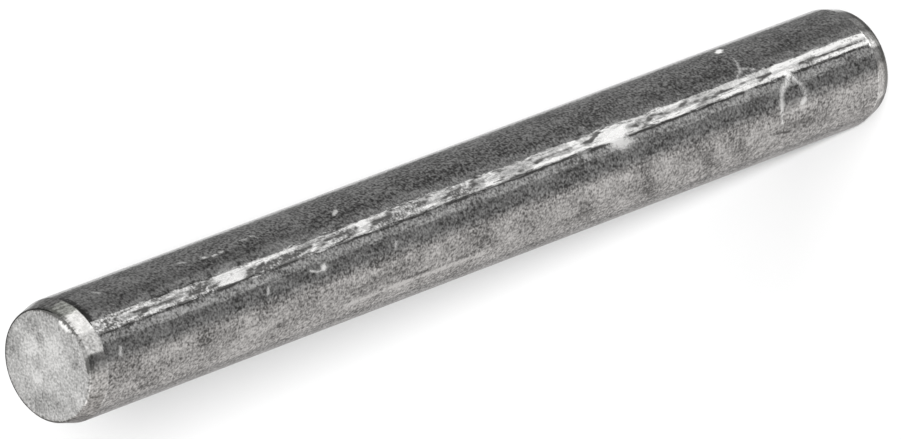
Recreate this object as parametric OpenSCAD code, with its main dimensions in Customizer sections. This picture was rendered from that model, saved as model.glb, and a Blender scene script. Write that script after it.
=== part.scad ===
// Plain parallel locking pin: a straight round shank with a lead-in chamfer
// at each end, turned from one piece of steel bar. All sizes are millimetres.
// The pin stands on its lower end face: the origin is that face's centre and
// +Z runs up the axis.

/* [Shank] */
// Diameter of the shank
shank_d = 3; // [1.5:0.5:12]
// Length over both end faces
pin_len = 28; // [6:1:80]

/* [Chamfered ends] */
// Length of each chamfer, measured along the axis
chamfer_len = 0.5; // [0.2:0.05:1]
// Angle between the chamfer and the axis, in degrees
chamfer_angle = 15; // [10:1:30]

/* [Broken edges] */
// Radius on the rim where an end face meets its chamfer
rim_round = 0.08; // [0.02:0.02:0.1]
// Radius on the shoulder where a chamfer meets the shank
shoulder_round = 0.3; // [0.1:0.05:0.5]

/* [Hidden] */
$fn = 96;
// Chords in each rounded edge
round_steps = 4;
steel = [0.61, 0.60, 0.59];
shank_r = shank_d / 2;
// Radius of the flat end face, where the chamfer runs out
face_r = shank_r - chamfer_len * tan(chamfer_angle);

function unit(v) = v / norm(v);

// Direction of a 2-D vector, in degrees from the radial axis
function heading(v) = atan2(v[1], v[0]);

// The points of an arc of radius r that rounds off a convex corner. The
// outline comes to the corner from `before` and leaves it towards `after`,
// anticlockwise.
function rounded(before, corner, after, r) =
    let (
        inward = unit(corner - before),
        outward = unit(after - corner),
        turn = acos(inward * outward),
        tangent = r * tan(turn / 2),
        start = corner - tangent * inward,
        centre = start + r * [-inward[1], inward[0]],
        start_angle = heading(start - centre)
    )
    [for (i = [0 : round_steps])
        centre + r * [cos(start_angle + turn * i / round_steps),
                      sin(start_angle + turn * i / round_steps)]];

// Half of the pin's section as radius and height: up the outside from the
// lower face to the upper one, then down the axis.
function pin_section() =
    let (
        foot = [0, 0],
        low_rim = [face_r, 0],
        low_shoulder = [shank_r, chamfer_len],
        high_shoulder = [shank_r, pin_len - chamfer_len],
        high_rim = [face_r, pin_len],
        head = [0, pin_len]
    )
    concat(
        [foot],
        rounded(foot, low_rim, low_shoulder, rim_round),
        rounded(low_rim, low_shoulder, high_shoulder, shoulder_round),
        rounded(low_shoulder, high_shoulder, high_rim, shoulder_round),
        rounded(high_shoulder, high_rim, head, rim_round),
        [head]
    );

// The whole pin, turned about its axis
module pin() {
    color(steel)
        rotate_extrude()
            polygon(pin_section());
}

pin();
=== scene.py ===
"""A plain parallel locking pin in bare steel, standing on its end on a pale studio floor.

The pin is one turned piece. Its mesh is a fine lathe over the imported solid's own section, with the faint
waves, scratches and burr that its surface carries. Lengths are millimetres where nothing else is said, and a
place is given by its height and its bearing: degrees round the axis from the front (-Y) to +X.
"""

import logging
import math
from dataclasses import dataclass
from enum import Enum
from functools import partial, reduce

import bpy
import numpy as np
from mathutils import Matrix, Vector


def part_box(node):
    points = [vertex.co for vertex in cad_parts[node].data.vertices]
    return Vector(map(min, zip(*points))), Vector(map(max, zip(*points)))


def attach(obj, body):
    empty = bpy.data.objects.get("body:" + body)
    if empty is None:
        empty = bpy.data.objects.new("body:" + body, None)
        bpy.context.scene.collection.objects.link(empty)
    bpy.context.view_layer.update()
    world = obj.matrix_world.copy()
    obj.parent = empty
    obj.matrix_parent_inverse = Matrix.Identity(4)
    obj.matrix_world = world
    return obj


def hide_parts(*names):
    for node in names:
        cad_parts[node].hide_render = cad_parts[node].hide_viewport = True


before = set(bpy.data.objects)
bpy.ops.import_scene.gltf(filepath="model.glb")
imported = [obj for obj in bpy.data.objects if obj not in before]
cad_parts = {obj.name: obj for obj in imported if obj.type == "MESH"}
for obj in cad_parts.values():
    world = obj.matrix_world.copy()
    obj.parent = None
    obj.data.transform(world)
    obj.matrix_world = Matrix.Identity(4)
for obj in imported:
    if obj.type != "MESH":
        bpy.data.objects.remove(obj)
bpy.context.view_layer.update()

Pair = tuple[float, float]
Triple = tuple[float, float, float]
Socket = bpy.types.NodeSocket
LOG = logging.getLogger("locking_pin")
MM = 0.001


def direction(bearing: float, rise: float) -> Vector:
    """Returns the unit vector at a bearing and a rise above the level, both in degrees."""
    turn, lift = math.radians(bearing), math.radians(rise)
    return Vector((math.sin(turn), -math.cos(turn), 0)) * math.cos(lift) + Vector((0, 0, math.sin(lift)))


def soft_step(values: np.ndarray, low: float, high: float) -> np.ndarray:
    """Returns a smooth rise from 0 at low to 1 at high, for each value."""
    share = np.clip((values - low) / (high - low), 0.0, 1.0)
    return share * share * (3.0 - 2.0 * share)


def bell(offset: np.ndarray, width: float | np.ndarray) -> np.ndarray:
    """Returns 1 where offset is 0, fading out smoothly over width on both sides."""
    return np.exp(-(offset / width) ** 2)


# --- Shader nodes ---


class Mark(Enum):
    """The vertex layers that carry the listed marks, painted highlight and painted shade among them, from the
    mesh to the finish.
    """

    BURNISH = "burnish"
    FILM = "film"
    LINT_AND_PAINTED_GLINT = "lint_and_painted_glint"
    RAGGED = "ragged"
    STAIN_AND_PAINTED_LIGHT = "stain_and_painted_light"


class NodeBench:
    """Adds shader nodes to one node tree and joins them. A value is a node's output or a constant."""

    def __init__(self, tree: bpy.types.NodeTree) -> None:
        """Empties the tree.

        Args:
            tree: the material's or the world's node tree.
        """
        self.tree = tree
        self.tree.nodes.clear()

    def add(self, kind: str, inputs: dict[int | str, object] | None = None,
            **settings: object) -> bpy.types.Node:
        """Adds a node and feeds it.

        Args:
            kind: the node's type name without its ShaderNode prefix.
            inputs: the values of its inputs, by their place or name.
            settings: properties to set on it.

        Returns:
            The new node.
        """
        node = self.tree.nodes.new("ShaderNode" + kind)
        for name, value in settings.items():
            setattr(node, name, value)
        for key, value in (inputs or {}).items():
            if isinstance(value, Socket):
                self.tree.links.new(value, node.inputs[key])
            else:
                node.inputs[key].default_value = value
        return node

    def calc(self, operation: str, *values: object, clamp: bool = False) -> Socket:
        """Returns the result of a Math node, kept between 0 and 1 if clamp is set."""
        return self.add("Math", dict(enumerate(values)), operation=operation, use_clamp=clamp).outputs[0]

    def times(self, first: object, second: object) -> Socket:
        """Returns first times second."""
        return self.calc("MULTIPLY", first, second)

    def total(self, *values: object) -> Socket:
        """Returns the sum of all values."""
        return reduce(partial(self.calc, "ADD"), values)

    def vector(self, operation: str, first: object, second: object) -> Socket:
        """Returns the result of a Vector Math node."""
        return self.add("VectorMath", {0: first, 1: second}, operation=operation).outputs[0]

    def noise(self, size: Triple, detail: float = 1.0, distortion: float = 0.0,
              roughness: float = 0.5) -> Socket:
        """Adds a noise in the object's own coordinates, centred on 0 and about 0.25 high.

        Args:
            size: its cells' size along each axis.
            detail: how many finer layers it has.
            distortion: how far its cells are pulled about.
            roughness: how strong the finer layers are.

        Returns:
            The noise.
        """
        place = self.add("TexCoord").outputs["Object"]
        node = self.add("TexNoise", {
            "Vector": self.vector("MULTIPLY", place, [1.0 / (MM * edge) for edge in size]),
            "Scale": 1.0,
            "Detail": detail,
            "Roughness": roughness,
            "Distortion": distortion,
        })
        return self.calc("SUBTRACT", node.outputs["Fac"], 0.5)

    def ramp(self, value: object, low: float, high: float) -> Socket:
        """Returns a smooth rise from 0 to 1, as value goes from low to high."""
        node = self.add("MapRange", {0: value, 1: low, 2: high}, interpolation_type="SMOOTHSTEP")
        return node.outputs[0]

    def blend(self, share: object, first: object, second: object) -> Socket:
        """Returns a colour between first and second, as share goes from 0 to 1."""
        return self.add("Mix", {0: share, 6: first, 7: second}, data_type="RGBA").outputs[2]

    def layer(self, mark: Mark) -> Socket:
        """Returns a listed mark's vertex layer."""
        return self.add("Attribute", attribute_name=mark.value).outputs["Fac"]


# --- Finishes ---


@dataclass(frozen=True)
class Steel:
    """Bare steel: what the shank's, the chamfers' and the ends' finishes share.

    dark and light are the colours of its dull and its bright places. The _colour fields say how much each
    pattern moves the colour between them, the _height fields are each pattern's relief, the _size fields its
    cells, and the _roughness fields what it adds to the roughness. The _cover field is how much of the metal
    the dust and the matte painted highlights hide, burnish_calm how much grain a burnish takes off,
    ragged_lift how much relief a ragged place adds, mark_breaks how broken up the marks are, and fine_share
    how strong the finer grain is.
    """

    name: str
    dark: Triple
    light: Triple
    roughness: float
    grain_colour: float
    smudge_colour: float
    grain_height: float
    lay_height: float
    hairline_height: float
    middle_tone: float = 0.5
    lowest_roughness: float = 0.05
    smudge_roughness: float = 0.06
    film_roughness: float = 0.22
    lint_and_painted_glint_roughness: float = 0.4
    lint_and_painted_glint_cover: float = 0.375
    burnish_calm: float = 0.65
    ragged_lift: float = 1.0
    mark_breaks: float = 2.6
    fine_share: float = 0.74
    fine_size: Triple = (0.055, 0.055, 0.055)
    grain_size: Triple = (0.078, 0.078, 0.1)
    smudge_size: Triple = (0.5, 0.5, 1.1)
    lay_size: Triple = (0.15, 0.15, 0.6)
    hairline_size: Triple = (0.06, 0.06, 0.5)
    nick_size: Triple = (0.075, 0.075, 0.22)
    nick_height: float = 0.004

    def relief(self, bench: NodeBench, grain: Socket) -> Socket:
        """Works out the relief: the lay of the tool, stronger where the surface is ragged.

        Args:
            bench: the material's node bench.
            grain: the grain's pattern.

        Returns:
            The relief, in metres.
        """
        lay = bench.noise(self.lay_size, distortion=0.5)
        hairline = bench.noise(self.hairline_size)
        nicks = bench.noise(self.nick_size, distortion=1.0)
        nicks = bench.times(bench.times(nicks, bench.layer(Mark.RAGGED)), self.nick_height * MM)
        ragged = bench.calc("MULTIPLY_ADD", bench.layer(Mark.RAGGED), self.ragged_lift, 1.0)
        lay = bench.times(lay, self.lay_height * MM)
        hairline = bench.times(hairline, self.hairline_height * MM)
        drawn = bench.times(bench.total(lay, hairline), ragged)
        return bench.total(drawn, nicks, bench.times(grain, self.grain_height * MM))

    def marks(self, bench: NodeBench) -> Socket:
        """Returns how much lighter the listed marks are, painted highlight and painted shade among them,
        broken up along the lay.
        """
        breaks = bench.noise(self.hairline_size, detail=2.0, distortion=0.4)
        return bench.times(bench.layer(Mark.STAIN_AND_PAINTED_LIGHT), bench.calc("MULTIPLY_ADD", breaks, self.mark_breaks, 1.0))

    def build(self) -> bpy.types.Material:
        """Makes the finish.

        Returns:
            Its material.
        """
        material = bpy.data.materials.new(self.name)
        material.use_nodes = True
        bench = NodeBench(material.node_tree)
        coarse = bench.noise(self.grain_size, roughness=0.7)
        fine = bench.noise(self.fine_size, detail=0.0)
        grain = bench.total(coarse, bench.times(fine, self.fine_share))
        calm = bench.calc("MULTIPLY_ADD", bench.layer(Mark.BURNISH), -self.burnish_calm, 1.0)
        grain = bench.times(grain, calm)
        smudge = bench.noise(self.smudge_size, detail=3.0, distortion=0.6)
        tone = bench.total(
            self.middle_tone,
            bench.times(grain, self.grain_colour),
            bench.times(smudge, self.smudge_colour),
            self.marks(bench),
        )
        tone = bench.calc("ADD", tone, 0.0, clamp=True)
        roughness = bench.total(
            self.roughness,
            bench.times(smudge, self.smudge_roughness),
            bench.times(bench.layer(Mark.FILM), self.film_roughness),
            bench.times(bench.layer(Mark.LINT_AND_PAINTED_GLINT), self.lint_and_painted_glint_roughness),
        )
        bump = bench.add("Bump", {"Strength": 1.0, "Distance": 1.0, "Height": self.relief(bench, grain)})
        bare = bench.calc("MULTIPLY_ADD", bench.layer(Mark.LINT_AND_PAINTED_GLINT), -self.lint_and_painted_glint_cover, 1.0, clamp=True)
        shade = bench.add("BsdfPrincipled", {
            "Metallic": bare,
            "Base Color": bench.blend(tone, (*self.dark, 1.0), (*self.light, 1.0)),
            "Roughness": bench.calc("MAXIMUM", roughness, self.lowest_roughness),
            "Normal": bump.outputs["Normal"],
        })
        bench.add("OutputMaterial", {"Surface": shade.outputs["BSDF"]})
        return material


DRAWN_SHANK = Steel(
    name="drawn_steel",
    dark=(0.14, 0.138, 0.135),
    light=(0.82, 0.815, 0.805),
    roughness=0.1,
    grain_colour=1.5,
    smudge_colour=1.05,
    grain_height=0.0002,
    lay_height=0.0045,
    hairline_height=0.001,
)
TURNED_CHAMFER = Steel(
    name="turned_steel",
    dark=(0.20, 0.198, 0.19),
    light=(0.84, 0.83, 0.815),
    roughness=0.13,
    grain_colour=1.05,
    smudge_colour=0.6,
    grain_height=0.0003,
    lay_height=0.001,
    hairline_height=0.0006,
    smudge_size=(0.3, 0.3, 0.3),
    lay_size=(0.4, 0.4, 0.1),
    hairline_size=(0.4, 0.4, 0.04),
)
FACED_END = Steel(
    name="faced_steel",
    dark=(0.22, 0.218, 0.213),
    light=(0.86, 0.855, 0.84),
    roughness=0.33,
    grain_colour=1.05,
    smudge_colour=0.7,
    grain_height=0.0008,
    lay_height=0.004,
    hairline_height=0.001,
    smudge_size=(0.3, 0.3, 0.3),
    lay_size=(0.15, 0.15, 0.15),
    hairline_size=(0.06, 0.06, 0.06),
)


# --- The pin ---


@dataclass(frozen=True)
class LineMark:
    """A line on the shank: a groove of some depth, or a flush mark.

    points are (height, bearing) pairs along it. lint says how much pale dust fills it, and on the bright dabs
    along the highlight how matte their painted highlight is; stain says how much lighter the steel is, as
    real stains on some lines and as painted highlight and painted shade on those along the highlight.
    """

    points: tuple[Pair, ...]
    width: float = 0.07
    depth: float = 0.003
    lint_and_painted_glint: float = 0.6
    stain_and_painted_light: float = 0.35


@dataclass(frozen=True)
class Patch:
    """An oval place on the shank: filmed over, ragged, or lighter or darker by its stain, which along the
    highlight is painted highlight and painted shade.

    burnish says how much finer its grain is, or coarser where it is negative, and sharp is the share of its
    size that lies inside its soft edge.
    """

    height: float
    bearing: float
    half_height: float
    half_width: float
    stain_and_painted_light: float = 0.0
    film: float = 0.0
    ragged: float = 0.0
    burnish: float = 0.0
    sharp: float = 0.2


@dataclass(frozen=True)
class Spot:
    """A soft round place on the upper end face: its bearing, its distance from the middle, half its width."""

    bearing: float
    reach: float
    half: float
    stain_and_painted_light: float


def flush_line(*points: Pair, width: float, stain_and_painted_light: float, lint_and_painted_glint: float = 0.0) -> LineMark:
    """Returns a flush mark through points."""
    return LineMark(points=points, width=width, depth=0.0, lint_and_painted_glint=lint_and_painted_glint, stain_and_painted_light=stain_and_painted_light)


def run(start: float, end: float, bearing: float, stain_and_painted_light: float, width: float = 0.06,
        slant: float = 0.0) -> LineMark:
    """Returns a flush mark from height start to height end, turned by slant degrees on its way."""
    return flush_line((start, bearing), (end, bearing + slant), width=width, stain_and_painted_light=stain_and_painted_light)


# A fibre pressed into the surface, in two legs
FIBRE = (
    LineMark(((3.44, 40.0), (3.62, 32.0), (3.86, 27.0), (3.98, 19.0), (4.02, 11.0)),
            width=0.14, lint_and_painted_glint=0.65, stain_and_painted_light=0.42),
    LineMark(((4.02, 11.0), (4.05, 4.0), (4.02, -4.0)), width=0.08, lint_and_painted_glint=0.5, stain_and_painted_light=0.35),
    LineMark(((3.44, 40.0), (3.3, 31.0), (3.16, 23.0), (3.12, 15.0)), width=0.15, lint_and_painted_glint=0.5, stain_and_painted_light=0.25),
    LineMark(((3.28, 9.0), (3.18, 11.5)), width=0.13, lint_and_painted_glint=0.8, stain_and_painted_light=0.8),
    flush_line((4.0, 5.0), (3.0, 4.5), width=0.05, stain_and_painted_light=0.3, lint_and_painted_glint=0.2),
)
# Tick marks and specks of dust
TICKS = (
    LineMark(((26.97, 21.0), (27.04, 15.0)), width=0.08, stain_and_painted_light=0.7),
    LineMark(((26.62, 83.0), (26.5, 79.0)), stain_and_painted_light=0.6),
    LineMark(((23.85, 79.0), (23.7, 77.0)), stain_and_painted_light=0.6),
    LineMark(((23.14, 74.4), (23.08, 74.2)), width=0.09, lint_and_painted_glint=1.0, stain_and_painted_light=0.8),
    LineMark(((22.88, 72.4), (22.78, 72.8)), width=0.08, lint_and_painted_glint=0.9, stain_and_painted_light=0.7),
    LineMark(((22.6, 73.2), (22.52, 73.6)), width=0.08, lint_and_painted_glint=0.7, stain_and_painted_light=0.6),
    LineMark(((21.96, 24.0), (22.03, 19.0)), width=0.08, stain_and_painted_light=0.6),
    LineMark(((21.75, 79.0), (21.6, 78.0)), stain_and_painted_light=0.7),
    LineMark(((21.4, 79.0), (21.3, 76.0)), stain_and_painted_light=0.7),
    LineMark(((20.52, 25.0), (20.3, 22.0), (20.12, 22.0)), width=0.06, stain_and_painted_light=0.6),
    LineMark(((20.1, 23.0), (20.05, 24.5)), width=0.13, lint_and_painted_glint=1.0, stain_and_painted_light=0.9),
    LineMark(((18.85, 68.0), (18.7, 71.0)), width=0.1, lint_and_painted_glint=0.9, stain_and_painted_light=0.8),
    LineMark(((17.6, 22.0), (17.68, 17.0)), width=0.08, lint_and_painted_glint=0.5, stain_and_painted_light=0.55),
    LineMark(((10.42, 61.0), (10.36, 60.0)), width=0.12, lint_and_painted_glint=0.4, stain_and_painted_light=0.35),
    LineMark(((4.6, 93.0), (4.45, 97.0)), width=0.14, lint_and_painted_glint=4.0, stain_and_painted_light=1.2),
    LineMark(((4.56, 75.0), (4.64, 68.0), (4.8, 57.0)), width=0.08, lint_and_painted_glint=0.5, stain_and_painted_light=0.6),
    LineMark(((4.74, 61.0), (4.36, 55.0)), width=0.07, lint_and_painted_glint=0.4, stain_and_painted_light=0.4),
    LineMark(((4.72, 60.0), (4.98, 54.0)), width=0.06, lint_and_painted_glint=0.3, stain_and_painted_light=0.4),
)
# Painted shade: a dark line painted beside the highlight, where it shows
PAINTED_SHADE_LINE = (
    run(27.45, 26.9, 38.3, -0.7), run(26.7, 26.2, 38.7, -0.8), run(26.05, 25.55, 38.5, -0.8, slant=-0.5),
    run(25.5, 24.95, 38.2, -0.7), run(24.75, 24.4, 38.0, -0.8, width=0.1),
    run(23.45, 22.85, 38.5, -1.2, width=0.09), run(22.85, 22.25, 38.2, -0.7, slant=1.5),
    run(21.5, 20.15, 38.6, -0.7), run(19.7, 18.2, 37.8, -0.6), run(17.85, 17.4, 37.2, -0.5),
    run(17.3, 16.4, 37.8, -0.8), run(16.35, 15.85, 38.2, -0.5), run(15.6, 14.9, 37.8, -0.9),
    run(14.9, 13.25, 38.0, -0.6), run(13.25, 12.35, 37.7, -1.0), run(12.3, 11.0, 38.0, -0.7),
    run(10.5, 9.85, 37.2, -0.8), run(9.17, 7.1, 37.5, -1.0), run(7.0, 6.0, 37.8, -0.7),
    run(5.95, 5.1, 37.5, -0.9), run(4.65, 4.05, 38.5, -0.6, slant=-2.0), run(3.85, 3.55, 38.0, -0.5),
    run(3.35, 0.6, 38.1, -0.6, width=0.05),
)
# Painted shade: dark lines painted between the highlight's two strands
PAINTED_HIGHLIGHT_GAPS = (
    run(26.15, 25.85, 46.5, -0.7, width=0.07), run(25.4, 24.85, 44.8, -0.7),
    run(22.5, 22.42, 51.0, -0.8, slant=5.0), run(22.8, 22.5, 45.5, -0.35), run(20.55, 20.15, 45.8, -0.7),
    run(19.75, 19.6, 43.0, -0.6, slant=3.0), run(19.6, 18.95, 46.2, -0.7),
    run(18.05, 17.4, 46.0, -0.7, width=0.08), run(16.95, 16.6, 48.0, -0.8, slant=-3.0),
    run(14.6, 14.5, 46.5, -0.7, width=0.08), run(13.95, 13.75, 45.0, -0.8, width=0.07),
    run(12.45, 12.2, 45.2, -0.9), run(12.1, 11.05, 46.2, -0.45), run(10.72, 10.5, 46.4, -0.8, width=0.08),
    run(10.45, 10.0, 45.5, -2.2, slant=5.5), run(9.08, 8.72, 45.6, -0.9, width=0.08),
    run(8.48, 8.22, 44.8, -1.0, slant=3.2), run(7.95, 7.62, 46.8, -1.1, slant=-3.0),
    run(6.9, 6.25, 45.4, -0.5), run(5.75, 5.3, 45.2, -0.8), run(5.05, 4.9, 46.2, -0.8),
    run(4.45, 3.95, 45.4, -0.8), run(3.0, 2.3, 45.0, -0.4), run(2.25, 1.7, 44.2, -0.9, width=0.045),
    run(1.7, 0.6, 44.0, -0.9, width=0.04),
)
# Painted highlight: bright strands and slanting bright streaks painted across the highlight; the last four
# are light and dark streaks on the pale side
PAINTED_STRANDS_AND_STREAKS = (
    run(26.6, 24.75, 48.6, 0.35, width=0.07), run(26.4, 25.0, 41.8, 0.25),
    run(24.6, 24.1, 42.0, 0.6, width=0.1, slant=8.0), run(22.25, 20.7, 49.3, 0.5, width=0.08),
    run(20.2, 19.75, 42.0, 0.7, width=0.1, slant=9.0), run(19.65, 18.5, 42.0, 0.3, width=0.07),
    run(19.7, 17.6, 50.3, 0.3, width=0.07), run(16.6, 16.1, 42.6, 0.5, width=0.07),
    run(12.5, 11.1, 41.6, 0.7, width=0.09), run(11.0, 10.78, 51.0, 1.3, width=0.17, slant=-15.0),
    run(10.72, 10.2, 40.8, 0.6, width=0.08), run(8.25, 7.2, 41.0, 0.8, width=0.08),
    run(7.9, 7.0, 50.2, 0.35), run(5.8, 5.3, 40.8, 0.9, width=0.08), run(3.3, 0.55, 49.0, 0.6, width=0.16),
    run(2.25, 0.55, 41.3, 0.6, width=0.08), run(2.3, 0.55, 46.3, 0.7, width=0.06),
    run(3.6, 0.6, 52.0, 0.3, width=0.1), run(22.7, 22.15, 31.0, 0.35, width=0.08),
    run(19.3, 17.2, -21.5, 0.5, width=0.12, slant=1.5),
    run(17.4, 14.6, -20.0, 0.46, width=0.11, slant=-1.5),
    run(17.8, 15.2, -16.0, -0.3, width=0.08, slant=-1.0),
    run(4.35, 3.72, -11.0, -0.5, width=0.06, slant=-4.0),
)
# Painted highlight: faint bright wisps painted over the highlight
PAINTED_HIGHLIGHT_WISPS = (
    run(26.3, 25.5, 51.5, 0.3, slant=6.0), run(25.9, 25.3, 54.0, 0.22, slant=4.0),
    run(24.6, 24.1, 50.0, 0.3, slant=6.0), run(23.3, 22.7, 52.0, 0.3, slant=5.0),
    run(22.9, 22.6, 55.0, 0.25, slant=4.0), run(20.0, 19.5, 51.5, 0.25, slant=6.0),
    run(19.6, 19.2, 53.0, 0.25, slant=6.0), run(17.2, 16.8, 50.0, 0.25, slant=7.0),
    run(14.7, 14.2, 52.0, 0.25, slant=5.0), run(12.6, 12.2, 51.0, 0.3, slant=6.0),
    run(10.2, 9.8, 52.0, 0.3, slant=4.0),
)
# Painted highlight: bright matte dabs on the highlight; then the pale side's slanting clouds; then painted
# shade along the shoulder's edge
PAINTED_DABS_CLOUDS_AND_SHADE = (
    flush_line((9.85, 43.0), (9.3, 48.0), width=0.28, stain_and_painted_light=0.4, lint_and_painted_glint=0.5),
    flush_line((9.95, 41.0), (9.72, 36.0), (9.52, 31.0), width=0.28, stain_and_painted_light=0.4, lint_and_painted_glint=0.4),
    flush_line((9.55, 42.0), (9.42, 36.0), (9.32, 33.0), width=0.22, stain_and_painted_light=0.4, lint_and_painted_glint=0.35),
    flush_line((23.12, 47.5), (22.68, 43.8), width=0.3, stain_and_painted_light=0.3, lint_and_painted_glint=0.25),
    flush_line((11.5, 6.0), (10.85, -32.0), width=0.5, stain_and_painted_light=-0.1),
    flush_line((9.15, 6.0), (8.55, -32.0), width=0.44, stain_and_painted_light=-0.24),
    flush_line((7.0, 6.0), (6.4, -34.0), width=0.46, stain_and_painted_light=-0.2),
    flush_line((5.75, 0.0), (5.2, -30.0), width=0.3, stain_and_painted_light=-0.16),
    flush_line((10.2, 4.0), (9.65, -26.0), width=0.4, stain_and_painted_light=0.13),
    flush_line((8.3, 4.0), (7.7, -28.0), width=0.5, stain_and_painted_light=0.1),
    flush_line((6.35, 2.0), (5.9, -22.0), width=0.14, stain_and_painted_light=0.2),
    flush_line((13.2, 0.0), (12.6, -34.0), width=0.4, stain_and_painted_light=-0.14),
    flush_line((27.43, 55.0), (27.43, 62.0), (27.43, 72.0), (27.42, 92.0), width=0.13, stain_and_painted_light=-1.3),
)


def painted_weave(count: int, seed: int) -> tuple[LineMark, ...]:
    """Scatters short slanting marks, dark and light, along the highlight: painted shade and painted highlight
    that break it up.

    Args:
        count: how many there are.
        seed: the seed of their places.

    Returns:
        The marks.
    """
    heights, lengths, widths = (1.0, 27.2), (0.18, 0.5), (0.04, 0.075)
    tones, bearings, slants = (-0.6, -0.45, 0.35), (39.5, 49.0), (2.0, 9.0)
    draw = np.random.default_rng(seed)
    marks = []
    for _ in range(count):
        start, long, wide = draw.uniform(*heights), draw.uniform(*lengths), draw.uniform(*widths)
        tone, bearing, slant = draw.choice(tones), draw.uniform(*bearings), draw.uniform(*slants)
        marks.append(run(start, start - long, bearing, tone, width=wide, slant=slant))
    return tuple(marks)


# All the lines: real scratches, the fibre and the ticks, and the flush lines of painted highlight and painted
# shade
LINES_AND_PAINTED_LIGHT = (*FIBRE, *TICKS, *PAINTED_SHADE_LINE, *PAINTED_HIGHLIGHT_GAPS, *PAINTED_STRANDS_AND_STREAKS, *PAINTED_HIGHLIGHT_WISPS, *PAINTED_DABS_CLOUDS_AND_SHADE, *painted_weave(count=125, seed=5))
PATCHES = (
    # Along the highlight: its finer grain, painted shade where it is dimmer (with film on some), and painted
    # highlight where it is brighter
    Patch(14.0, 45.5, 14.5, 0.26, burnish=1.0, ragged=0.55, sharp=0.7),
    Patch(6.0, 45.5, 6.4, 0.2, 0.14, sharp=0.7),
    Patch(26.95, 45.5, 0.5, 0.34, -0.22, film=0.1, ragged=0.8, burnish=-0.9),
    Patch(27.4, 45.0, 0.25, 0.26, 0.22),
    Patch(24.05, 44.0, 0.5, 0.34, -0.36, film=0.1, ragged=1.0, burnish=-0.9),
    Patch(22.9, 45.5, 0.62, 0.2, 0.7, film=0.1, sharp=0.7),
    Patch(21.7, 42.6, 0.6, 0.14, -0.31, film=0.1, ragged=1.0, burnish=-0.9, sharp=0.4),
    Patch(20.85, 42.6, 0.6, 0.16, -0.26, ragged=1.0, burnish=-0.9),
    Patch(20.4, 46.0, 0.7, 0.24, -0.12, ragged=0.8),
    Patch(21.0, 43.6, 0.85, 0.2, -0.2, ragged=0.8, burnish=-0.9),
    Patch(19.2, 45.5, 0.75, 0.3, -0.24, ragged=1.0, burnish=-0.9),
    Patch(23.75, 42.0, 0.3, 0.16, -0.3, ragged=0.8, burnish=-0.9),
    Patch(18.32, 45.5, 0.21, 0.2, 0.6, sharp=0.8),
    Patch(17.5, 42.6, 0.65, 0.16, -0.29, film=0.1, ragged=1.0, burnish=-0.9, sharp=0.4),
    Patch(16.7, 46.0, 0.8, 0.28, -0.24, film=0.1, ragged=1.2, burnish=-0.9),
    Patch(15.1, 44.8, 0.8, 0.28, -0.32, film=0.15, ragged=1.1, burnish=-0.9),
    Patch(13.9, 44.8, 0.34, 0.19, 0.6, sharp=0.8), Patch(12.9, 45.5, 0.6, 0.22, -0.12, ragged=1.0),
    Patch(9.75, 45.0, 0.62, 0.24, 1.2, sharp=0.5), Patch(9.68, 35.0, 0.4, 0.18, 0.4, film=0.7, ragged=1.0),
    Patch(9.55, 31.5, 0.28, 0.14, 0.25, film=0.6, ragged=1.0), Patch(9.2, 34.0, 0.14, 0.2, 0.4, film=0.6),
    Patch(10.75, 33.0, 0.18, 0.12, 0.35), Patch(8.3, 46.0, 1.1, 0.25, ragged=1.0),
    Patch(3.6, 45.5, 0.55, 0.2, 0.6, sharp=0.6), Patch(2.6, 45.5, 0.3, 0.2, -0.3, film=0.3),
    Patch(4.9, 45.5, 0.9, 0.2, 0.2, ragged=0.5), Patch(24.75, 33.0, 0.25, 0.13, 0.35),
    # Smudges on the pale side
    Patch(25.2, 0.0, 0.25, 0.35, 0.16), Patch(24.2, 1.0, 0.5, 0.4, -0.27),
    Patch(26.0, -28.0, 0.5, 0.12, -0.3), Patch(22.75, -3.0, 0.45, 0.35, 0.35),
    Patch(21.6, -15.0, 0.4, 0.13, -0.3), Patch(20.7, -25.0, 0.25, 0.1, 0.34),
    Patch(19.8, 5.5, 0.8, 0.1, 0.22), Patch(18.4, 3.0, 0.2, 0.12, 0.27),
    Patch(17.3, -3.0, 0.9, 0.25, -0.18), Patch(16.35, 3.0, 0.3, 0.25, 0.22),
    Patch(13.9, -4.0, 0.7, 0.45, 0.16), Patch(11.9, -4.0, 0.4, 0.5, 0.16),
    Patch(10.45, -8.0, 0.42, 0.4, 0.26), Patch(9.7, 2.0, 0.35, 0.2, 0.41),
    Patch(8.3, -5.0, 0.4, 0.45, 0.19), Patch(6.35, -5.0, 0.14, 0.35, 0.2),
    Patch(5.5, -12.0, 0.12, 0.35, -0.27), Patch(5.15, -5.0, 0.25, 0.4, 0.22),
    Patch(3.2, -12.0, 0.5, 0.32, -0.2), Patch(1.8, -5.0, 0.8, 0.5, 0.18),
    # The grain beside the highlight, on the dark and the pale side, and the dark side's clouds
    Patch(14.0, 92.0, 14.8, 1.1, burnish=-0.75, sharp=0.6),
    Patch(14.0, 15.0, 14.6, 0.35, burnish=-0.3, sharp=0.6),
    Patch(14.0, -12.0, 14.8, 0.6, burnish=0.15, sharp=0.6),
    Patch(14.0, -50.0, 14.8, 0.6, burnish=-0.4, sharp=0.5), Patch(25.2, 85.0, 1.0, 0.4, 0.1),
    Patch(23.2, 66.0, 1.2, 0.25, -0.12), Patch(20.5, 90.0, 1.5, 0.4, 0.1),
    Patch(15.5, 75.0, 1.6, 0.5, -0.08), Patch(11.0, 92.0, 1.4, 0.4, -0.1),
)
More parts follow.
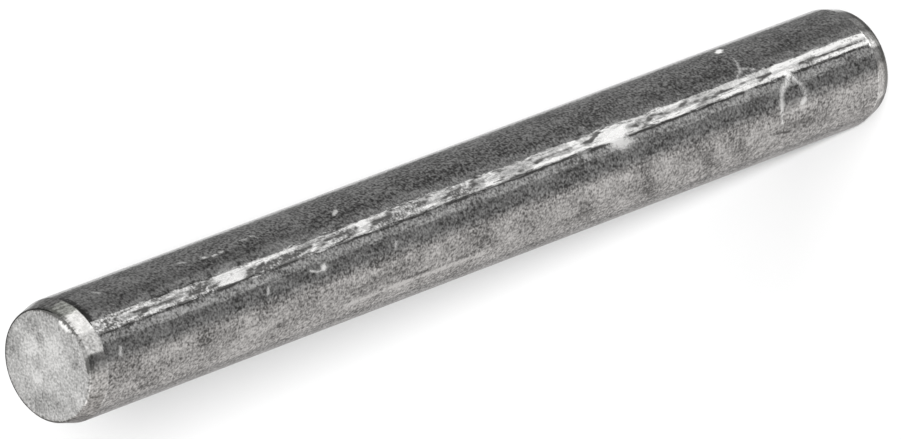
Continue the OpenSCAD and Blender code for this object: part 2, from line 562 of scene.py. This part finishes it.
# On the upper end face
SPOTS = (
    Spot(60.0, 0.06, 0.95, 0.16), Spot(-130.0, 0.47, 0.2, 0.26), Spot(141.0, 0.64, 0.28, 0.2),
    Spot(69.0, 0.64, 0.28, 0.2), Spot(110.0, 0.66, 0.16, -0.26), Spot(119.0, 1.02, 0.34, -0.16),
    Spot(165.0, 1.22, 0.34, -0.16), Spot(-97.0, 0.91, 0.34, -0.22), Spot(-71.0, 0.83, 0.22, -0.14),
    Spot(-27.0, 1.2, 0.28, 0.16), Spot(16.0, 0.98, 0.14, -0.2), Spot(40.0, 0.3, 0.3, 0.12),
    Spot(190.0, 0.2, 0.14, -0.16),
)


@dataclass(frozen=True)
class Arc:
    """A stretch of the upper end's rim or chamfer, given by its middle's bearing, with soft ends."""

    middle: float
    full: float
    gone: float

    def share(self, bearing: np.ndarray) -> np.ndarray:
        """Returns 1 up to full degrees off the middle, and 0 from gone degrees on."""
        return 1.0 - soft_step(np.abs(bearing - self.middle), self.full, self.gone)


# The upper end: its burr and its painted highlight, the painted shade round its rim, the chamfer's painted
# highlight, and the bearing of the rim's front, which gets no painted shade
BURR = Arc(58.0, 11.0, 19.0)
BURR_SWELL = Arc(62.0, 3.0, 13.0)
PAINTED_RIM_SHADE = Arc(80.0, 26.0, 36.0)
PAINTED_RIM_SHADE_START = Arc(43.0, 6.0, 11.0)
PAINTED_RIM_SHADE_SWELL = Arc(76.0, 8.0, 24.0)
PAINTED_CHAMFER_HIGHLIGHT = Arc(56.0, 9.0, 15.0)
# The rim's side turned from this bearing, the camera's, gets painted shade
UNSHADED_RIM_BEARING = 28.757
# The middles of the ends' discs on the bake map
LOWER_DISC, UPPER_DISC = 0.625, 0.875
# The mesh's columns: where each stretch starts and ends, and its step, as bearings
COLUMN_STEPS = (
    (-180.0, -62.0, 2.0), (-62.0, 32.0, 1.0), (32.0, 56.0, 0.5), (56.0, 120.0, 1.0), (120.0, 180.0, 2.0),
)


@dataclass
class LockingPin:
    """The pin's mesh: a lathe over its section, with its marks cut into it.

    A vertex within shank_slack of the full radius carries the shank's marks, and a face within face_slack has
    its finish. The angles are in degrees.
    """

    radius: float = 0.0
    length: float = 0.0
    chamfer_len: float = 0.5
    chamfer_angle: float = 15.0
    rim_round: float = 0.08
    shoulder_round: float = 0.3
    face_rings: int = 15
    cone_rings: int = 6
    shank_rings: int = 276
    shank_slack: float = 0.002
    face_slack: float = 0.003
    burr_height: float = 0.012
    # The burr's painted highlight: how much lighter and how matte its lip is painted
    burr_painted_highlight: float = 0.9
    burr_painted_matte_highlight: float = 2.9
    wave_slope: float = 0.05
    seed: int = 11

    def __post_init__(self) -> None:
        """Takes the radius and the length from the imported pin."""
        low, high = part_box("pin")
        self.radius = (high[0] - low[0]) / 2 / MM
        self.length = (high[2] - low[2]) / MM

    @property
    def face_radius(self) -> float:
        """The radius at which a chamfer would meet its end face, were the rim sharp."""
        return self.radius - self.chamfer_len * math.tan(math.radians(self.chamfer_angle))

    def rounded(self, before: Pair, corner: Pair, after: Pair, radius: float, steps: int = 4) -> list[Pair]:
        """Rounds off a corner of the section.

        Args:
            before: the point that the section comes from.
            corner: the sharp corner.
            after: the point that it goes to.
            radius: the edge's radius.
            steps: chords in the arc.

        Returns:
            The points of the arc.
        """
        here = Vector(corner)
        inward = (here - Vector(before)).normalized()
        outward = (Vector(after) - here).normalized()
        turn = inward.angle(outward)
        start = here - inward * (radius * math.tan(turn / 2))
        centre = start + Vector((-inward.y, inward.x)) * radius
        arm = start - centre
        points = []
        for step in range(steps + 1):
            angle = turn * step / steps
            points.append((
                centre.x + arm.x * math.cos(angle) - arm.y * math.sin(angle),
                centre.y + arm.x * math.sin(angle) + arm.y * math.cos(angle),
            ))
        return points

    def lower_end(self) -> list[Pair]:
        """Draws the section of the lower end.

        Returns:
            Its points as (radius, height), from the face's middle to the shank.
        """
        rim, shoulder = (self.face_radius, 0.0), (self.radius, self.chamfer_len)
        face = [(self.face_radius * share, 0.0) for share in np.linspace(0.04, 0.92, self.face_rings)]
        rim_arc = self.rounded((0.0, 0.0), rim, shoulder, self.rim_round)
        shoulder_arc = self.rounded(rim, shoulder, (self.radius, self.length), self.shoulder_round)
        bottom, top = rim_arc[-1], shoulder_arc[0]
        cone = [
            (bottom[0] + (top[0] - bottom[0]) * share, bottom[1] + (top[1] - bottom[1]) * share)
            for share in np.linspace(0.0, 1.0, self.cone_rings + 2)[1:-1]
        ]
        return face + rim_arc + cone + shoulder_arc

    def ring_heights(self, start: float, end: float) -> np.ndarray:
        """Spaces the shank's rings, closer together where a scratch needs them.

        Args:
            start: the lowest ring's height.
            end: the highest ring's height.

        Returns:
            The rings' heights.
        """
        fine = np.linspace(start, end, 4001)
        need = np.ones(fine.shape)
        extra, outer, inner = 2.5, 0.15, 0.05
        for scratch in (*FIBRE, *TICKS):
            heights = [height for height, _ in scratch.points]
            middle, half = (min(heights) + max(heights)) / 2, (max(heights) - min(heights)) / 2
            near = soft_step(np.abs(fine - middle), half + outer, half + inner)
            need = np.maximum(need, 1.0 + extra * near)
        measure = np.concatenate([[0.0], np.cumsum((need[1:] + need[:-1]) / 2)])
        return np.interp(np.linspace(0.0, measure[-1], self.shank_rings), measure, fine)

    def section(self) -> np.ndarray:
        """Draws the whole section.

        Returns:
            Its points as (radius, height), from the lower face's middle to the upper one's.
        """
        low = self.lower_end()
        high = [(radius, self.length - height) for radius, height in reversed(low)]
        heights = self.ring_heights(low[-1][1], high[0][1])[1:-1]
        shank = [(self.radius, height) for height in heights]
        return np.array(low + shank + high)

    def waves(self, turn: np.ndarray, height: np.ndarray) -> np.ndarray:
        """Works out the shank's faint long waves.

        Args:
            turn: each vertex's angle round the axis, in radians.
            height: each vertex's height.

        Returns:
            Each vertex's height over the true cylinder.
        """
        draw = np.random.default_rng(self.seed)
        relief = np.zeros(turn.shape)
        for count in range(3, 90, 3):
            phase, drift, rate = draw.uniform(0.0, math.tau, 3)
            wander = 1.5 * np.sin(height * (0.2 + 0.1 * rate) + drift)
            wave = np.cos(count * turn + phase + wander)
            relief += math.radians(self.wave_slope) * self.radius / count * wave
        return relief

    def along_scratch(self, scratch: LineMark, arc: np.ndarray, height: np.ndarray) -> np.ndarray:
        """Finds how deep in a scratch each vertex lies.

        Args:
            scratch: the scratch.
            arc: each vertex's place round the shank.
            height: each vertex's height.

        Returns:
            From 0 outside the scratch to 1 on its line.
        """
        nearest = np.full(arc.shape, np.inf)
        places = [(math.radians(bearing) * self.radius, level) for level, bearing in scratch.points]
        for (arc_a, level_a), (arc_b, level_b) in zip(places, places[1:]):
            run_arc, run_level = arc_b - arc_a, level_b - level_a
            share = (arc - arc_a) * run_arc + (height - level_a) * run_level
            share = np.clip(share / (run_arc ** 2 + run_level ** 2), 0.0, 1.0)
            gap = np.hypot(arc - arc_a - share * run_arc, height - level_a - share * run_level)
            nearest = np.minimum(nearest, gap)
        return bell(nearest, scratch.width / 2)

    def in_patch(self, patch: Patch, arc: np.ndarray, height: np.ndarray) -> np.ndarray:
        """Finds how deep in a patch each vertex lies.

        Args:
            patch: the patch.
            arc: each vertex's place round the shank.
            height: each vertex's height.

        Returns:
            From 0 outside the patch to 1 in its middle.
        """
        over = (height - patch.height) / patch.half_height
        across = (arc - math.radians(patch.bearing) * self.radius) / patch.half_width
        return 1.0 - soft_step(np.hypot(over, across), patch.sharp, 1.0)

    def columns(self) -> np.ndarray:
        """Returns the bearings of the mesh's columns, closer together where the marks are finest."""
        return np.concatenate([np.arange(*stretch) for stretch in COLUMN_STEPS])

    def mark_shank(self, arc: np.ndarray, height: np.ndarray, layers: dict[Mark, np.ndarray]) -> np.ndarray:
        """Puts the shank's marks, painted highlight and painted shade among them, into the layers.

        Args:
            arc: each vertex's place round the shank.
            height: each vertex's height.
            layers: one value a vertex for each mark.

        Returns:
            The marks' relief.
        """
        relief = np.zeros(arc.shape)
        for scratch in LINES_AND_PAINTED_LIGHT:
            depth = self.along_scratch(scratch, arc, height)
            relief -= depth * scratch.depth
            layers[Mark.LINT_AND_PAINTED_GLINT] = np.maximum(layers[Mark.LINT_AND_PAINTED_GLINT], depth * scratch.lint_and_painted_glint)
            layers[Mark.STAIN_AND_PAINTED_LIGHT] += depth * scratch.stain_and_painted_light
        for patch in PATCHES:
            depth = self.in_patch(patch, arc, height)
            layers[Mark.FILM] = np.maximum(layers[Mark.FILM], depth * patch.film)
            layers[Mark.RAGGED] = np.maximum(layers[Mark.RAGGED], depth * patch.ragged)
            layers[Mark.BURNISH] += depth * patch.burnish
            layers[Mark.STAIN_AND_PAINTED_LIGHT] += depth * patch.stain_and_painted_light
        return relief

    def mark_ends(self, radius: np.ndarray, bearing: np.ndarray, height: np.ndarray,
                  layers: dict[Mark, np.ndarray]) -> np.ndarray:
        """Puts the upper face's spots, its burr and the chamfers' marks into the layers, with the painted
        highlight and painted shade on the rim and the chamfers.

        Args:
            radius: each vertex's distance from the axis.
            bearing: each vertex's bearing.
            height: each vertex's height.
            layers: one value a vertex for each mark.

        Returns:
            The burr's relief, along the axis.
        """
        turn, down, from_rim = np.radians(bearing), self.length - height, radius - self.face_radius
        stain_and_painted_light = layers[Mark.STAIN_AND_PAINTED_LIGHT]
        face = (down < 0.1) & (from_rim < 0.02)
        rim = down < 0.15
        cone = (down < self.chamfer_len) & (from_rim > -0.04)
        for spot in SPOTS:
            place = math.radians(spot.bearing)
            gap = np.hypot(radius * np.sin(turn) - spot.reach * math.sin(place),
                           radius * np.cos(turn) - spot.reach * math.cos(place))
            stain_and_painted_light += face * spot.stain_and_painted_light * (1.0 - soft_step(gap, spot.half * 0.5, spot.half * 1.2))

        # The burr on the rim, raised and painted as a matte bright highlight, and the painted shade round it
        wobble = 0.014 * np.sin(bearing * 0.9) + 0.01 * np.sin(bearing * 2.1 + 1.0)
        thickness = 0.024 + 0.046 * BURR_SWELL.share(bearing)
        lip = BURR.share(bearing) * rim * bell(from_rim + 0.03 + wobble + thickness, thickness)
        lip *= 0.3 + 0.7 * soft_step(bearing, 50.0, 60.0)
        # Painted highlight: the burr's lip is painted lighter and matte
        stain_and_painted_light += self.burr_painted_highlight * lip
        layers[Mark.LINT_AND_PAINTED_GLINT] = np.maximum(layers[Mark.LINT_AND_PAINTED_GLINT], self.burr_painted_matte_highlight * lip)
        # Painted shade: a dark line painted round the rim beside the burr
        dark = PAINTED_RIM_SHADE.share(bearing) + 0.6 * PAINTED_RIM_SHADE_START.share(bearing)
        stain_and_painted_light -= dark * rim * bell(from_rim + 0.012 + wobble, 0.02 + 0.024 * PAINTED_RIM_SHADE_SWELL.share(bearing))
        # Painted shade: the rim's side turned from the camera's bearing is painted darker
        far_side_shade = soft_step(-np.cos(turn - math.radians(UNSHADED_RIM_BEARING)), -0.25, 0.2)
        stain_and_painted_light -= 0.55 * far_side_shade * rim * bell(from_rim + 0.02, 0.035)

        # The upper chamfer: a painted highlight, coarse, stained, a spot of painted shade, and pale in turn
        # Painted highlight: lighter and finer-grained where the chamfer shows its bright reflection
        chamfer_highlight = cone * PAINTED_CHAMFER_HIGHLIGHT.share(bearing)
        layers[Mark.BURNISH] += 0.8 * chamfer_highlight - 0.8 * cone * (1.0 - soft_step(bearing, 4.0, 14.0))
        dull = cone * soft_step(bearing, 74.0, 80.0) * (1.0 - soft_step(bearing, 104.0, 112.0))
        mottle = np.sin(bearing * 0.75 + 9.0 * height) * np.sin(bearing * 0.4 - 23.0 * height)
        stain_and_painted_light += dull * (0.3 * mottle - 0.12)
        stain_and_painted_light += 0.12 * chamfer_highlight
        # Painted shade: a dark spot on the chamfer by the rim
        stain_and_painted_light -= 1.3 * cone * bell(bearing - 15.0, 7.0) * bell(down, 0.15)
        stain_and_painted_light += 0.25 * cone * soft_step(bearing, 103.0, 110.0)

        # Painted shade: a dark line round the foot
        stain_and_painted_light -= bell(height - 0.1, 0.1) * (from_rim > 0.0)
        return self.burr_height * lip

    def bake_map(self, section: np.ndarray, columns: np.ndarray, ring: np.ndarray, column: np.ndarray,
                 on_end: np.ndarray) -> np.ndarray:
        """Lays the pin out flat: the shank in three equal lengths, and each end as a disc.

        Args:
            section: the section's radius and height, ring by ring.
            columns: the bearing of each column, with the seam's again at the end.
            ring: the rings of each face's corners.
            column: the columns of each face's corners.
            on_end: whether each face is part of a chamfer or an end.

        Returns:
            Each corner's place on the map.
        """
        margin, cell, disc_scale = 0.006, 0.485, 0.06
        height, turn = section[ring, 1], np.radians(columns[column])
        third = self.length / 3
        strip = np.clip((height[:, :1] + 0.01) // third, 0, 2)
        along = (height - strip * third) * cell / (math.tau * self.radius) + margin + 0.5 * (strip == 1)
        around = (turn / math.tau + 0.5) * cell + margin + 0.5 * (strip == 2)
        steps = section[0, 0] + np.concatenate([[0.0], np.cumsum(np.hypot(*np.diff(section, axis=0).T))])
        lower = height < self.length / 2
        reach = disc_scale * np.where(lower, steps[ring], steps[-1] + section[0, 0] - steps[ring])
        centre = np.where(lower, LOWER_DISC, UPPER_DISC)
        across = centre + reach * np.sin(turn)
        down = centre + reach * np.cos(turn) * np.where(lower, 1.0, -1.0)
        end = on_end[:, None]
        return np.stack([np.where(end, across, along), np.where(end, down, around)], axis=2)

    def build(self) -> bpy.types.Object:
        """Makes the pin.

        Returns:
            Its object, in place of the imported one.
        """
        section, columns = self.section(), self.columns()
        rings, around = len(section), len(columns)
        radius, height = np.repeat(section, around, axis=0).T
        bearing = np.tile(columns, rings)
        turns = np.radians(bearing)
        on_shank = (radius > self.radius - self.shank_slack).astype(float)

        layers = {mark: np.zeros(turns.shape) for mark in Mark}
        relief = self.waves(turns, height) + self.mark_shank(turns * self.radius, height, layers)
        for values in layers.values():
            values *= on_shank
        relief -= relief.max()
        reach = radius + relief * on_shank
        lift = self.mark_ends(radius, bearing, height, layers)

        points = np.stack([reach * np.sin(turns), -reach * np.cos(turns), height + lift], axis=1)
        points = np.concatenate([points, [[0.0, 0.0, 0.0], [0.0, 0.0, self.length]]]) * MM

        flat = section[:-1, 1] == section[1:, 1]
        outside = (section[:-1, 0] + section[1:, 0]) / 2 > self.radius - self.face_slack
        ring_kind = np.where(flat, 2, np.where(outside, 0, 1))
        low_ring, step = [grid.ravel() for grid in np.mgrid[0:rings - 1, 0:around]]
        quad_ring = np.stack([low_ring, low_ring, low_ring + 1, low_ring + 1], axis=1)
        quad_column = np.stack([step, step + 1, step + 1, step], axis=1)
        quads = quad_ring * around + quad_column % around
        step = np.arange(around)
        foot = np.stack([np.full(around, rings * around), (step + 1) % around, step], axis=1)
        top = (rings - 1) * around
        head = np.stack([np.full(around, rings * around + 1), top + step, top + (step + 1) % around], axis=1)
        faces = quads.tolist() + foot.tolist() + head.tolist()

        mesh = bpy.data.meshes.new("steel_pin")
        mesh.from_pydata(points.tolist(), [], faces)
        for steel in (DRAWN_SHANK, TURNED_CHAMFER, FACED_END):
            mesh.materials.append(steel.build())
        kinds = np.concatenate([ring_kind[low_ring], np.full(2 * around, 2)])
        mesh.polygons.foreach_set("material_index", kinds)
        for mark, values in layers.items():
            attribute = mesh.attributes.new(mark.value, "FLOAT", "POINT")
            attribute.data.foreach_set("value", np.concatenate([values, [0.0, 0.0]]).astype(np.float32))
        seam = np.append(columns, 180.0)
        quad_map = self.bake_map(section, seam, quad_ring, quad_column, ring_kind[low_ring] > 0)
        foot_map = [[(LOWER_DISC, LOWER_DISC), *pair] for pair in quad_map[:around, 1::-1].tolist()]
        head_map = [[(UPPER_DISC, UPPER_DISC), *pair] for pair in quad_map[-around:, :1:-1].tolist()]
        layout = np.concatenate([quad_map.ravel(), np.ravel(foot_map), np.ravel(head_map)])
        mesh.uv_layers.new(name="OFBake").data.foreach_set("uv", layout.astype(np.float32))
        mesh.shade_smooth()
        mesh.update()
        piece = bpy.data.objects.new("steel_pin", mesh)
        bpy.context.scene.collection.objects.link(piece)
        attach(piece, "root")
        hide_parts("pin")
        return piece


# --- The studio ---


@dataclass(frozen=True)
class Card:
    """A card or soft box of the studio, far off and seen only in the steel.

    bearing and rise each give its two edges as directions in degrees, level is its brightness, where 1 is
    white, and soft its soft edge's width in degrees.
    """

    bearing: Pair
    rise: Pair
    level: float
    soft: float = 3.0
    tint: Triple = (1.0, 1.0, 1.0)


ROOM_LEVEL = 0.1
WARM = (1.03, 0.99, 0.97)
CARDS = (
    # The table below, and the pale side of the room
    Card((-200.0, 200.0), (-100.0, -40.0), 0.1, 6.0),
    Card((-11.0, -102.0), (-100.0, 30.0), 0.42, 8.0, tint=WARM),
    Card((0.0, -11.0), (-100.0, 0.0), 0.17, 8.0, tint=WARM),
    Card((-104.0, -145.0), (-100.0, 30.0), 0.25, 12.0, tint=WARM),
    Card((-8.0, -100.0), (-62.0, -50.0), 0.5, 4.0),
    Card((-8.0, -100.0), (-76.0, -62.0), 0.2, 5.0),
    Card((4.0, -80.0), (-38.0, -27.0), 0.45, 5.0),
    Card((5.0, -50.0), (-25.0, -8.0), 0.18, 8.0),
    # The dark side, with a dim glow behind
    Card((-6.0, 28.0), (-60.0, -36.0), 0.08, 8.0),
    Card((110.0, 210.0), (-60.0, -36.0), 0.08, 40.0),
    Card((182.0, 202.0), (-60.0, -30.0), 0.5, 16.0),
    Card((76.0, 93.0), (-60.0, -36.0), 0.1, 10.0),
    Card((-10.0, 24.0), (-34.0, -5.0), 0.12, 6.0),
    Card((130.0, 215.0), (-36.0, -12.0), 0.14, 12.0),
    # The lamp tubes, with the glow under them
    Card((29.0, 45.0), (-60.0, -36.0), 0.3),
    Card((49.0, 57.0), (-80.0, -38.0), 0.95, 2.0),
    Card((56.0, 65.0), (-80.0, -38.0), 0.45, 2.0),
    Card((65.0, 75.0), (-80.0, -38.0), 0.95, 2.0),
    Card((36.0, 88.0), (-61.0, -53.0), 0.5, 3.0),
    Card((46.0, 82.0), (-70.0, -49.0), 1.0, 4.0),
    Card((56.0, 104.0), (-80.0, -64.0), 0.45, 6.0),
    Card((0.0, 44.0), (-82.0, -66.0), 0.22, 6.0),
    Card((114.0, 150.0), (-72.0, -58.0), 0.14, 6.0),
    Card((24.0, 66.0), (-38.0, -26.0), 0.8, 4.0),
    # The window that the chamfer shows, and the wall over it
    Card((21.0, 62.0), (-24.0, -5.0), 0.9, 4.0),
    Card((60.0, 100.0), (-22.0, 0.0), 1.3, 5.0),
    Card((97.0, 133.0), (-28.0, -10.0), 0.45, 6.0, tint=(0.97, 1.0, 0.94)),
    Card((-70.0, 120.0), (-4.0, 28.0), 0.5, 6.0),
    # The ceiling, with its lamp
    Card((-200.0, 200.0), (25.0, 100.0), 0.635, 8.0),
    Card((175.0, 242.0), (22.0, 66.0), 0.2, 20.0),
)


@dataclass(frozen=True)
class Lamp:
    """A far-off round lamp: its direction, its strength and how wide it looks, in degrees."""

    name: str
    bearing: float
    rise: float
    strength: float
    softness: float


LAMPS = (
    Lamp("key", bearing=30.0, rise=43.6, strength=3.13, softness=5.0),
    Lamp("fill", bearing=60.0, rise=43.6, strength=1.13, softness=45.0),
)


@dataclass
class Studio:
    """A pale floor, two soft lamps, and a ring of cards that the steel reflects.

    floor_half is in metres, and room_light is the share of the cards' light that lights what isn't a mirror.
    """

    floor_half: float = 3.0
    floor_shade: float = 0.9
    room_light: float = 0.4

    def card_light(self, bench: NodeBench, card: Card, bearing: Socket,
                   rise: Socket) -> Socket:
        """Works out the light that a card adds in each direction.

        Args:
            bench: the world's node bench.
            card: the card.
            bearing: the direction's bearing, in degrees.
            rise: its rise, in degrees.

        Returns:
            The light, as a colour.
        """
        half_soft = card.soft / 2
        middle, reach = sum(card.bearing) / 2, abs(card.bearing[1] - card.bearing[0]) / 2
        turned = bench.calc("WRAP", bench.calc("SUBTRACT", bearing, middle), 180.0, -180.0)
        across = bench.ramp(bench.calc("ABSOLUTE", turned), reach + half_soft, reach - half_soft)
        middle, reach = sum(card.rise) / 2, abs(card.rise[1] - card.rise[0]) / 2
        off = bench.calc("ABSOLUTE", bench.calc("SUBTRACT", rise, middle))
        along = bench.ramp(off, reach + half_soft, reach - half_soft)
        colour = [card.level * part for part in card.tint]
        share = bench.times(across, along)
        return bench.add("VectorMath", {0: colour, "Scale": share}, operation="SCALE").outputs[0]

    def build_world(self) -> None:
        """Makes the world: white to the camera, the cards to mirrors, and dimmer cards to the rest."""
        world = bpy.data.worlds.new("studio")
        world.use_nodes = True
        bpy.context.scene.world = world
        bench = NodeBench(world.node_tree)
        east, north, high = bench.add("SeparateXYZ", {0: bench.add("TexCoord").outputs["Generated"]}).outputs
        bearing = bench.calc("DEGREES", bench.calc("ARCTAN2", east, bench.times(north, -1.0)))
        rise = bench.calc("DEGREES", bench.calc("ARCSINE", high))
        light = (ROOM_LEVEL, ROOM_LEVEL, ROOM_LEVEL)
        for card in CARDS:
            light = bench.vector("ADD", light, self.card_light(bench, card, bearing, rise))
        path = bench.add("LightPath")
        seen = path.outputs["Is Camera Ray"]
        mirrored = bench.calc("MAXIMUM", seen, path.outputs["Is Glossy Ray"])
        background = bench.add("Background", {
            "Color": bench.blend(seen, light, (1.0, 1.0, 1.0, 1.0)),
            "Strength": bench.calc("MULTIPLY_ADD", mirrored, 1.0 - self.room_light, self.room_light),
        })
        bench.add("OutputWorld", {"Surface": background.outputs[0]})

    def build_floor(self) -> bpy.types.Object:
        """Makes the floor: a pale sheet under the pin, which its steel doesn't mirror.

        Returns:
            Its object.
        """
        half = self.floor_half
        mesh = bpy.data.meshes.new("floor")
        corners = [(-half, -half, 0), (half, -half, 0), (half, half, 0), (-half, half, 0)]
        mesh.from_pydata(corners, [], [(0, 1, 2, 3)])
        material = bpy.data.materials.new("pale_floor")
        material.use_nodes = True
        shade = material.node_tree.nodes["Principled BSDF"]
        shade.inputs["Base Color"].default_value = (*[self.floor_shade] * 3, 1.0)
        shade.inputs["Roughness"].default_value = 1.0
        shade.inputs["Specular IOR Level"].default_value = 0.0
        mesh.materials.append(material)
        floor = bpy.data.objects.new("floor", mesh)
        floor.visible_glossy = False
        bpy.context.scene.collection.objects.link(floor)
        return floor

    def build_lamp(self, lamp: Lamp) -> bpy.types.Object:
        """Makes a lamp, which draws its part of the soft shadow and isn't mirrored in the steel.

        Args:
            lamp: its direction, strength and width.

        Returns:
            Its object.
        """
        light = bpy.data.lights.new(lamp.name, "SUN")
        light.energy = lamp.strength
        light.angle = math.radians(lamp.softness)
        holder = bpy.data.objects.new(lamp.name, light)
        towards = direction(lamp.bearing, lamp.rise)
        holder.rotation_euler = towards.to_track_quat("Z", "Y").to_euler()
        holder.location = towards
        holder.visible_glossy = False
        bpy.context.scene.collection.objects.link(holder)
        return holder


@dataclass
class PictureCamera:
    """A long lens, turned so that the standing pin lies along the picture's diagonal.

    offset_right and offset_up move its aim off the pin's middle, across the picture and up it.
    """

    bearing: float = 28.757
    rise: float = 43.572
    roll: float = -110.719
    distance: float = 379.67
    lens: float = 639.3
    offset_right: float = -0.144
    offset_up: float = -0.195

    def build(self, pin: LockingPin) -> bpy.types.Object:
        """Makes the camera, and makes it the scene's own.

        Args:
            pin: the pin, whose middle the camera is aimed beside.

        Returns:
            Its object.
        """
        data = bpy.data.cameras.new("camera")
        data.lens = self.lens
        data.clip_start, data.clip_end = 0.01, 20.0
        camera = bpy.data.objects.new("camera", data)
        back = direction(self.bearing, self.rise)
        turned = back.to_track_quat("Z", "Y").to_matrix() @ Matrix.Rotation(math.radians(self.roll), 3, "Z")
        aim = Vector((0, 0, pin.length / 2))
        aim += turned.col[0] * self.offset_right + turned.col[1] * self.offset_up
        place = Matrix.Translation((aim + back * self.distance) * MM)
        camera.matrix_world = place @ turned.to_4x4()
        bpy.context.scene.collection.objects.link(camera)
        bpy.context.scene.camera = camera
        return camera


def main() -> None:
    """Builds the pin and the studio, and reports each piece."""
    logging.basicConfig(level=logging.INFO, format="%(name)s: %(message)s")
    bpy.context.scene.view_settings.view_transform = "Standard"
    pin = LockingPin()
    piece = pin.build()
    LOG.info("%s: %d faces, %.2f mm across, %.2f mm long", piece.name, len(piece.data.polygons),
             piece.dimensions.x / MM, piece.dimensions.z / MM)
    studio = Studio()
    studio.build_world()
    floor = studio.build_floor()
    LOG.info("%s: %.1f m wide", floor.name, 2 * studio.floor_half)
    for lamp in LAMPS:
        LOG.info("%s: strength %.2f", studio.build_lamp(lamp).name, lamp.strength)
    camera = PictureCamera()
    LOG.info("%s: %.0f mm lens", camera.build(pin).name, camera.lens)


if __name__ == "__main__":
    main()
